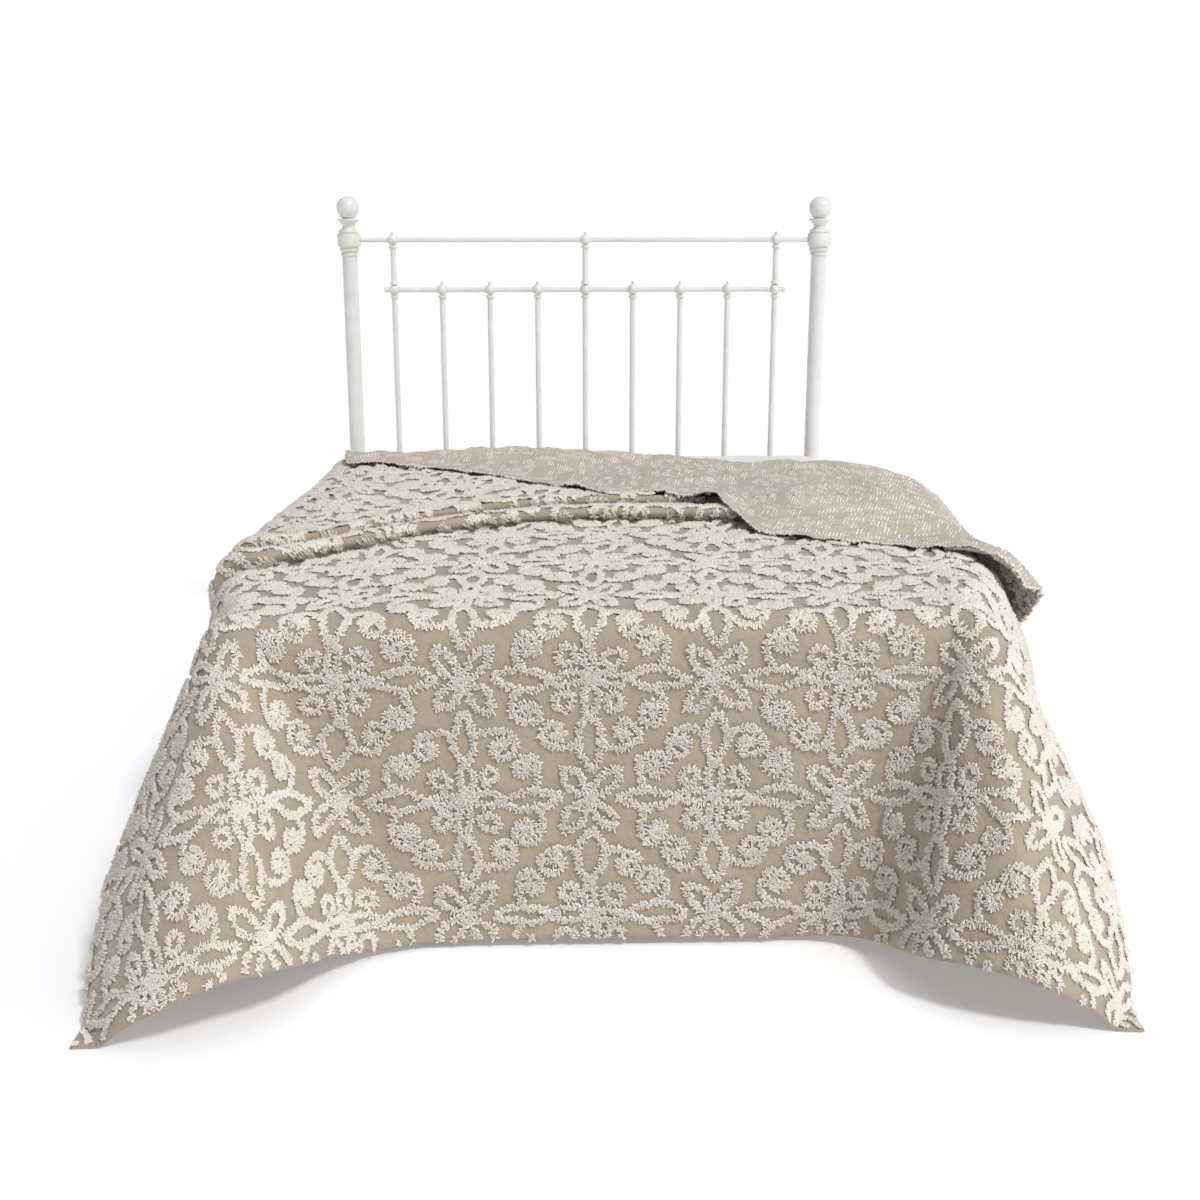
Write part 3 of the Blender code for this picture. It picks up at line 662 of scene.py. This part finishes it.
def yarnStubs(places, ways, look):  # cut yarns fanned out to both sides of the line, and one along its crest
    n = len(places)
    across = np.stack([-ways[:, 1], ways[:, 0]], 1)
    parts = []
    for hand in (-1, 1, 0):
        if hand:
            d = across * hand + ways * random.normal(0, look["lean"], (n, 1))
            d /= np.linalg.norm(d, axis=1, keepdims=True)
            start = places + ways * random.uniform(-0.0016, 0.0016, (n, 1)) - d * random.uniform(0, 0.0030, (n, 1))
            long, peakAt = look["reach"] * random.uniform(0.74, 1.12, (n, 1)), random.uniform(0.35, 0.75, (n, 1))
            high = look["high"] * random.uniform(0.65, 1.15, (n, 1))
        else:
            turn = random.uniform(0, 2 * np.pi, n)
            d = np.stack([np.cos(turn), np.sin(turn)], 1)
            long, peakAt = look["crestLong"] * random.uniform(0.8, 1.2, (n, 1)), random.uniform(0.3, 0.7, (n, 1))
            start = places - d * long / 2 + across * random.normal(0, 0.0022, (n, 1))
            high = look["crest"] * random.uniform(0.75, 1.1, (n, 1))
        wide = look["wide"] * random.uniform(0.72, 1.20, (n, 1)) / 2
        lifted = look["lifted"] * random.uniform(0.4, 1.5, (n, 1)) if hand else 0.1
        parts.append(stubShape(start, d, long, wide, high, look["sink"], peakAt, lifted))
    return np.concatenate([p for p, h in parts]), np.concatenate([h for p, h in parts])


def laidOn(flat, height, side=1.0):  # lifts flat places onto the draped cloth
    s, t = flat[..., 0], flat[..., 1]
    outS = np.clip(np.abs(s) - halfWidth, 0, None) * np.sign(s)  # ends that stand past a hem keep going in its plane
    outT = t - np.clip(t, 0, clothLength)
    sIn, tIn = s - outS, t - outT
    e = 0.004
    ds = unit(onMap(mapMid, np.minimum(sIn + e, mapS[-1]), tIn) - onMap(mapMid, np.maximum(sIn - e, mapS[0]), tIn))
    dt = unit(onMap(mapMid, sIn, np.minimum(tIn + e, mapT[-1])) - onMap(mapMid, sIn, np.maximum(tIn - e, 0)))
    nrm = unit(onMap(mapNormal, sIn, tIn))
    pos = onMap(mapMid, sIn, tIn) + ds * outS[..., None] + dt * outT[..., None]
    pos += nrm * (side * (cloth["thick"] / 2 + height))[..., None]
    pos[..., 2] = np.maximum(pos[..., 2], 0.0015)
    return pos


def tuftMesh(name, pos, faces, tips, material):  # one small shape for each yarn; tips are 0 at its root and 1 at its tip
    base = np.arange(len(pos))[:, None] * pos.shape[1]
    ob = newMesh(name, toWorld(pos.reshape(-1, 3)), [np.concatenate([base + np.array([f]) for f in faces])])
    layer = ob.data.attributes.new("tip", "FLOAT", "POINT")
    layer.data.foreach_set("value", np.tile(tips, len(pos)).astype(np.float32))
    ob.data.materials.append(material)
    return ob


def stubMesh(name, pos, material):
    # the tip values set the painted shade, with the two root corners darkest
    return tuftMesh(name, pos, ((0, 1, 4), (1, 2, 4), (2, 3, 4), (3, 0, 4)), [0, 0, 0.45, 0.45, 1], material)


pos = laidOn(*yarnStubs(stations, directions, yarn))
pos = pos[np.argsort(np.tile(stations[:, 1], 3), kind="stable")]  # from the foot hem upwards
pileCount = int(np.ceil(len(pos) * 4 / 190000))
parts = np.array_split(pos, pileCount)
pilePieces = [stubMesh("chenille_pile_%d" % n, part, pileMaterial) for n, part in enumerate(parts, 1)]
print("chenille pile:", len(pos), "cut yarns in", pileCount, "pieces")

# stitches that show through on the turned-down reverse
backStitch = dict(rows=0.0074, apart=0.0240, turn=73, long=0.0200, wide=0.0029, high=0.0010, uneven=0.0012)
backLook = dict(light=(0.950, 0.910, 0.840), dark=(0.850, 0.800, 0.720), root=(1, 1, 1), rough=0.95)
within = (np.abs(drawn[:, 0]) < halfWidth - 0.02) & (drawn[:, 1] > 1.2) & (drawn[:, 1] < clothLength - 0.02)
within &= onMap(mapPast, drawn[:, 0], drawn[:, 1]) > 0.01
picked = drawn[within]
a = math.radians(backStitch["turn"])
along = np.array([math.cos(a), math.sin(a)])
acrossRows = np.array([-along[1], along[0]])
steps = np.stack([picked @ acrossRows / backStitch["rows"], picked @ along / backStitch["apart"]], 1)
steps = np.unique(np.round(steps), axis=0)  # the needle goes up and down in even rows
count = len(steps)
reach = steps[:, 1:] * backStitch["apart"] + random.normal(0, backStitch["uneven"], (count, 1)) - backStitch["long"] / 2
starts = steps[:, :1] * backStitch["rows"] * acrossRows + reach * along
flat, height = stubShape(starts, np.tile(along, (count, 1)), backStitch["long"] * random.uniform(0.85, 1.1, (count, 1)),
                         np.full((count, 1), backStitch["wide"] / 2),
                         backStitch["high"] * random.uniform(0.7, 1.2, (count, 1)), 0.0003, 0.5, 0.3)
stitchPos = laidOn(flat, height, side=-1.0)
pilePieces.append(stubMesh("back_stitches", stitchPos, pileYarn("back_stitches", backLook)))
print("stitches on the reverse:", count)

# cut yarns that stand out past the hem, as small uneven lumps
hemYarn = dict(step=0.0031, size=0.0042, slowWave=0.02111088, fastWave=0.083)
lumpCorners = ((0.62, 0), (-0.62, 0), (0, 1.25), (0, -0.9), (0.1, 0.1), (-0.1, 0.1))  # along the hem and out from it
lumpFaces = ((0, 2, 4), (2, 1, 4), (1, 3, 4), (3, 0, 4), (2, 0, 5), (1, 2, 5), (3, 1, 5), (0, 3, 5))


def hemLumps(a, b):
    a, b = np.array(a), np.array(b)
    n = int(np.linalg.norm(b - a) / hemYarn["step"])
    u = (np.arange(n) + random.uniform(0, 1, n)) / n
    full = 0.5 + 0.5 * np.sin(u * n * hemYarn["slowWave"] + 1.3) * np.sin(u * n * hemYarn["fastWave"] + 0.5)
    size = hemYarn["size"] * (0.55 + 0.75 * full) * random.uniform(0.75, 1.25, n)
    way = (b - a) / np.linalg.norm(b - a)
    out = np.array([way[1], -way[0]])
    centre = a + (b - a) * u[:, None] + out * (random.uniform(-0.2, 0.75, n) * size)[:, None]
    lift = random.uniform(-0.55, 0.55, n) * size - cloth["thick"] / 2
    flat = np.stack([centre + way * (size * k)[:, None] + out * (size * m)[:, None] for k, m in lumpCorners], 1)
    height = np.stack([lift, lift, lift + size * 0.2, lift, lift + size * 0.85, lift - size * 0.85], 1)
    return laidOn(flat, height)


lumps = np.concatenate([hemLumps((halfWidth, clothLength), (-0.9, clothLength)),
                        hemLumps((halfWidth, 1.75), (halfWidth, clothLength))])
# the tip values paint shade on the lumps' inner and lower corners
pilePieces.append(tuftMesh("hem_yarn", lumps, lumpFaces, [0.6, 0.5, 1.0, 0.2, 1.0, 0.5], pileMaterial))
for piece in pilePieces:
    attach(piece, "root")
print("hem yarns:", len(lumps))

# mattress and foundation
bedding = dict(
    mattress=dict(corner=0.07, edge=0.040, crown=0.018, ripple=0.0012),
    foundation=dict(corner=0.05, edge=0.012, crown=0.0, ripple=0.0),
    # the dark colours are painted shade in the hollows of the cotton's folds
    sheet=dict(light=(0.86, 0.86, 0.85), dark=(0.78, 0.78, 0.775), bump=0.004),
    cover=dict(light=(0.72, 0.71, 0.69), dark=(0.66, 0.65, 0.63), bump=0.002),
    cornerPoints=14, sideCuts=16,
)
insets = (0.06, 0.09, 0.13, 0.18, 0.25, 0.33, 0.42, 0.52, 0.62)  # rings over the top, in from the sides


def plainCotton(name, look):
    m, tree = startMaterial(name, {"Roughness": 0.9, "Specular IOR Level": 0.2, "Sheen Weight": 0.1})
    place = addNode(tree, "TexCoord", (-1100, 0)).outputs["Object"]
    folds = noise(tree, (-800, 200), place, 5.0, 5.0, 0.55, 0.8)
    both = times(tree, (-500, -100), noise(tree, (-800, -100), place, 900.0, 1.0), 0.03, folds)
    # painted shade: the colour follows the fold bumps and is darker in their hollows
    colour = rampBetween(tree, folds, [(0.3, look["dark"]), (0.7, look["light"])], (-300, 150))
    return finishMaterial(m, colour, bumped(tree, (-300, -200), both, 0.5, look["bump"]))


def roundedBlock(name, low, high, shape, material):
    corner, edge, crown = shape["corner"], shape["edge"], shape["crown"]
    per = bedding["cornerPoints"]
    cx, cy = (low[0] + high[0]) / 2, (low[1] + high[1]) / 2
    hx, hy = (high[0] - low[0]) / 2, (high[1] - low[1]) / 2
    topZ = high[2] - crown * (1 - math.exp(-(hx - 0.02 - edge) / 0.45))
    quarter = np.linspace(0, np.pi / 2, 8)
    rings = [(hx - 0.03, low[2]), (hx * 0.5, low[2])]
    rings += [(edge * (1 - math.sin(a)), low[2] + edge * (1 - math.cos(a))) for a in quarter]
    rings += [(0.0, z) for z in np.linspace(low[2] + edge, topZ - edge, 9)[1:-1]]
    rings += [(edge * (1 - math.cos(a)), topZ - edge * (1 - math.sin(a))) for a in quarter]
    rings += [(d, topZ + crown * (1 - math.exp(-(d - edge) / 0.45))) for d in (*insets, hx - 0.02)]
    verts = []
    for inset, z in rings:
        ax, ay = hx - inset, hy - inset
        c = max(min(corner - inset * 0.6, ax * 0.9), 0.012)
        outline = []
        for kx, ky, start in ((1, 1, 0), (-1, 1, 90), (-1, -1, 180), (1, -1, 270)):
            for k in range(per):
                a = math.radians(start + 90 * k / (per - 1))
                outline.append((kx * (ax - c) + c * math.cos(a), ky * (ay - c) + c * math.sin(a)))
        full = []
        for k in range(len(outline)):  # straight runs get points too
            p, q = np.array(outline[k]), np.array(outline[(k + 1) % len(outline)])
            cuts = bedding["sideCuts"] if k % per == per - 1 else 1
            full += [p + (q - p) * j / cuts for j in range(cuts)]
        verts += [(cx + p[0], cy + p[1], z) for p in full]
    verts = np.array(verts)
    x, y, z = verts[:, 0], verts[:, 1], verts[:, 2]
    h = np.sin(31 * x + 5 * np.sin(9 * y)) * np.sin(17 * y + 3) * 0.5 + 0.5 * np.sin(23 * y + 7 * x + 4 * np.sin(11 * x))
    uneven = shape["ripple"]  # the top isn't quite smooth
    verts[:, 2] += (uneven * h - uneven) * rise(z, topZ - 0.03, 0.03)
    ob = newMesh(name, verts, ringFaces(len(rings), len(full)))
    ob.data.materials.append(material)
    return ob


sheetWhite = plainCotton("fitted_sheet_cotton", bedding["sheet"])
tickingGrey = plainCotton("foundation_cotton", bedding["cover"])
mattressPiece = roundedBlock("mattress_in_sheet", mattressLow, mattressHigh, bedding["mattress"], sheetWhite)
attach(mattressPiece, "root")
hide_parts("mattress")
foundationPiece = roundedBlock("foundation_cover", *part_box("foundation"), bedding["foundation"], tickingGrey)
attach(foundationPiece, "root")
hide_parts("foundation")
print("mattress and foundation made")

# headboard
metalLook = dict(colour=(0.80, 0.785, 0.745), shade=(0.73, 0.71, 0.665), rough=0.32, glossier=0.06, duller=0.10)


def paintedMetal(name, look):
    m, tree = startMaterial(name, {"Coat Weight": 0.15, "Coat Roughness": 0.2})
    place = addNode(tree, "TexCoord", (-1000, 0)).outputs["Object"]
    mottled = noise(tree, (-750, 150), place, 14.0, 5.0, 0.6)
    orangePeel = noise(tree, (-750, -150), place, 420.0, 2.0)
    colour = rampBetween(tree, mottled, [(0.35, look["shade"]), (0.65, look["colour"])], (-400, 150))
    smoothest, roughest = look["rough"] - look["glossier"], look["rough"] + look["duller"]
    rough = addNode(tree, "MapRange", (-400, -60), mottled, 0, 1, smoothest, roughest)
    tree.links.new(rough.outputs[0], tree.nodes["Principled BSDF"].inputs["Roughness"])
    return finishMaterial(m, colour, bumped(tree, (-300, -300), orangePeel, 0.25, 0.0003))


metal = paintedMetal("off_white_enamel", metalLook)


def turnedPiece(name, node, profile, place, sides, axis="z"):  # profile rows of (distance along, radius)
    prof = np.array(profile, float)
    a = np.arange(sides) * 2 * np.pi / sides
    d = np.repeat(prof[:, 0][:, None], sides, 1)
    r = prof[:, 1][:, None]
    u, v = r * np.cos(a), r * np.sin(a)
    pts = np.stack([u, v, d], -1) if axis == "z" else np.stack([d, u, v], -1)
    ob = newMesh(name, pts.reshape(-1, 3) + np.array(place), ringFaces(len(prof), sides))
    ob.data.materials.append(metal)
    ob.data.set_sharp_from_angle(angle=math.radians(42))
    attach(ob, "root")
    if node:
        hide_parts(node)


def ringBump(at, radius, swell, wide, n=7):  # a rounded bead round a turned post
    a = np.linspace(-np.pi / 2, np.pi / 2, n)
    return [(at + wide / 2 * math.sin(k), radius + swell * math.cos(k)) for k in a]


board = dict(postX=0.75, y=2.082, topRail=1.377, midRail=1.221, lowRail=0.592, pitch=0.153, rod=0.0075, spindle=0.0088,
             ball=0.0355, ballZ=1.475, clear=0.0006, postHalf=0.0372, pastEnds=0.02)
boardY = footY + board["y"]
ballTurns = np.radians(np.linspace(-62, 88, 22))
ballRows = [(board["ballZ"] + board["ball"] * math.sin(a), board["ball"] * math.cos(a)) for a in ballTurns]
postProfile = [(0.0, 0.0200), (0.002, 0.0210), (0.012, 0.0243), (0.05, 0.0243),
               (0.55, 0.0243), (1.10, 0.0240), (1.325, 0.0238)]
postProfile += ringBump(1.3315, 0.0240, 0.0040, 0.010) + [(1.338, 0.0250), (1.341, 0.0285)]
postProfile += ringBump(1.3475, 0.0285, 0.0028, 0.010)
postProfile += [(1.3535, 0.0300), (1.357, 0.0355), (1.3585, 0.0363), (1.377, 0.0365), (1.3955, 0.0363), (1.397, 0.0355)]
postProfile += ringBump(1.4035, 0.0285, 0.0028, 0.010)
postProfile += [(1.4095, 0.0240), (1.4135, 0.0195), (1.4165, 0.0188), (1.420, 0.0190), (1.426, 0.0222),
                (1.432, 0.0285), (1.437, 0.0325), (1.4395, 0.0335), (1.442, 0.0318)] + ballRows
for tag, side in (("left", -1), ("right", 1)):
    turnedPiece("headboard_post_" + tag, "post_" + tag, postProfile, (midX + side * board["postX"], boardY, 0), 48)


def castKnob(x, rod):  # a small squared casting where two rods cross
    half = [(0.0165, 1), (0.0160, 1.25), (0.0140, 1.45), (0.0125, 1.35), (0.0110, 1.75), (0.0070, 2.15)]
    return [(x - d, rod * k) for d, k in half] + [(x, rod * 2.25)] + [(x + d, rod * k) for d, k in half[::-1]]


def rodAcross(name, node, half, z, knobs, ballEnds):
    rod = board["rod"]
    rows = [(-half, rod)]
    if ballEnds:
        rows = [(-half - 0.013 + 0.0065 * (1 - math.cos(a)), 0.0005 + rod * 1.25 * math.sin(a))
                for a in np.linspace(0.05, 2.4, 9)]
    for x in knobs:
        rows += castKnob(x, rod)
    rows += [(-d, r) for d, r in rows[:9]][::-1] if ballEnds else [(half, rod)]
    turnedPiece(name, node, rows, (midX, boardY, z), 24, "x")


pitch, topRail, midRail = board["pitch"], board["topRail"], board["midRail"]
places = range(-4, 5)  # spindles either side of the middle one
tall = [-4 * pitch, 0, 4 * pitch]
rodAcross("headboard_top_rod", "top_rail", board["postX"] - board["postHalf"], topRail, tall, False)
rodAcross("headboard_middle_rod", "mid_rail", 4 * pitch + board["pastEnds"], midRail, [k * pitch for k in places], True)


def upright(name, node, low, high, x):
    r = board["spindle"]
    collar = [(low, r * 1.45), (low + 0.004, r * 1.55), (low + 0.008, r * 1.45), (low + 0.011, r)]
    top = [(high - 0.011, r), (high - 0.008, r * 1.45), (high - 0.004, r * 1.55), (high, r * 1.45)]
    turnedPiece(name, node, collar + top, (midX + x, boardY, 0), 20)


knobHalf, clear = board["rod"] * 2.25, board["clear"]
for n, x in enumerate(tall, 1):
    upright("headboard_upper_rod_%d" % n, "upper_spindle_%d" % n, midRail + knobHalf + clear, topRail - knobHalf - clear, x)
for n, k in enumerate(places, 1):
    upright("headboard_rod_%d" % n, "lower_spindle_%d" % n, board["lowRail"] + clear, midRail - knobHalf - clear, k * pitch)
finialRows = [(0.0160, 0.0052), (0.0175, 0.0058), (0.0190, 0.0040), (0.0200, 0.0036), (0.0212, 0.0048),
              (0.0228, 0.0054), (0.0244, 0.0048), (0.0254, 0.0030), (0.0258, 0.0008)]
finials = [(x, topRail) for x in tall] + [(k * pitch, midRail) for k in places if k not in (-4, 0, 4)]
for n, (x, z) in enumerate(finials, 1):
    turnedPiece("headboard_finial_%d" % n, None, [(z + d, r) for d, r in finialRows], (midX + x, boardY, 0), 16)
print("headboard made")

# bed frame: the plain solids stay, with their own finishes
woodLook = dict(dark=(0.36, 0.24, 0.13), light=(0.58, 0.43, 0.27), rough=0.6)


def planedWood(name, look):
    m, tree = startMaterial(name, {"Roughness": look["rough"]})
    place = addNode(tree, "TexCoord", (-1100, 0)).outputs["Object"]
    stretch = addNode(tree, "Mapping", (-900, 0), Vector=place, Scale=(1.5, 22, 22)).outputs[0]
    grain = noise(tree, (-650, 0), stretch, 6.0, 6.0, 0.65, 0.6)
    colour = rampBetween(tree, grain, [(0.3, look["dark"]), (0.7, look["light"])], (-300, 0))
    return finishMaterial(m, colour, bumped(tree, (-300, -250), grain, 0.3, 0.0006))


def refinish(node, material):
    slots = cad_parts[node].data.materials
    slots.clear()
    slots.append(material)


wood = planedWood("planed_pine", woodLook)
for node in ("low_rail", "side_rail_left", "side_rail_right", "foot_rail", "foot_leg_left", "foot_leg_right"):
    refinish(node, metal)
for node in ("slat_1", "slat_2", "slat_3", "slat_4"):
    refinish(node, wood)
print("bed frame finished")

# floor, light and camera
studio = dict(horizon=(1.02, 1.02, 1.02), middle=(0.36, 0.36, 0.37), top=(1.12, 1.15, 1.22), dimLeft=0.12,
              floorDark=(0.90, 0.90, 0.90), floorLight=(0.92, 0.92, 0.92), floorGlow=0.17)
bpy.ops.mesh.primitive_plane_add(size=80, location=(0, 14, 0))
floor = bpy.context.object
floor.name = "studio_floor"
paper, tree = startMaterial("floor_paper", {"Roughness": 0.95, "Specular IOR Level": 0.05,
                                            "Emission Color": (1, 1, 1, 1), "Emission Strength": studio["floorGlow"]})
mottle = noise(tree, (-650, 0), addNode(tree, "TexCoord", (-900, 0)).outputs["Object"], 0.6, 2.0)
colour = rampBetween(tree, mottle, [(0.3, studio["floorDark"]), (0.7, studio["floorLight"])], (-300, 0))
floor.data.materials.append(finishMaterial(paper, colour))

world = bpy.data.worlds.new("studio")
scene.world = world
world.use_nodes = True
tree = world.node_tree
aim = addNode(tree, "TexCoord", (-900, 0)).outputs["Generated"]
split = addNode(tree, "SeparateXYZ", (-700, 0), aim)
skyStops = [(0.13, studio["horizon"]), (0.26, studio["middle"]), (0.62, studio["middle"]), (0.92, studio["top"])]
sky = rampBetween(tree, split.outputs["Z"], skyStops, (-450, 0))  # white at eye level, dimmer above
fromLeft = addNode(tree, "MapRange", (-450, -250), split.outputs["X"], -0.9, 0.3, studio["dimLeft"])
upHigh = addNode(tree, "MapRange", (-450, -500), split.outputs["Z"], 0.12, 0.24)  # dimmer on the left, above eye level
dimmed = addNode(tree, "Mix", (-200, -300), data_type="FLOAT")
dimmed.inputs[2].default_value = 1.0
tree.links.new(upHigh.outputs[0], dimmed.inputs[0])
tree.links.new(fromLeft.outputs[0], dimmed.inputs[3])
tree.links.new(sky, tree.nodes["Background"].inputs["Color"])
tree.links.new(dimmed.outputs[0], tree.nodes["Background"].inputs["Strength"])


def addLight(name, kind, place, aim, **values):
    light = bpy.data.lights.new(name, kind)
    for key, v in values.items():
        setattr(light, key, v)
    ob = bpy.data.objects.new(name, light)
    ob.location = place
    ob.rotation_euler = (Vector(aim) - Vector(place)).to_track_quat("-Z", "Y").to_euler()
    scene.collection.objects.link(ob)


lights = dict(
    key=dict(kind="SUN", place=(0.46, -0.64, 0.95), aim=(0, 0, 0), energy=1.68, angle=math.radians(9)),
    right_fill=dict(kind="AREA", place=(2.7, -2.6, 2.1), aim=(0.2, -0.7, 0.4), energy=14,
                    shape="RECTANGLE", size=1.2, size_y=1.2),
)
for name, light in lights.items():
    addLight(name, **light)

view = dict(lens=45.6, away=2.90, high=1.522, side=-0.103, down=15.0, turn=1.73)
camData = bpy.data.cameras.new("camera")
camData.lens = view["lens"]
camData.sensor_width = 36
camera = bpy.data.objects.new("camera", camData)
camera.location = (midX + view["side"], footY - view["away"], view["high"])
camera.rotation_euler = (math.radians(90 - view["down"]), 0, math.radians(-view["turn"]))
scene.collection.objects.link(camera)
bpy.context.scene.camera = camera
scene.view_settings.view_transform = "Standard"
print("studio set")
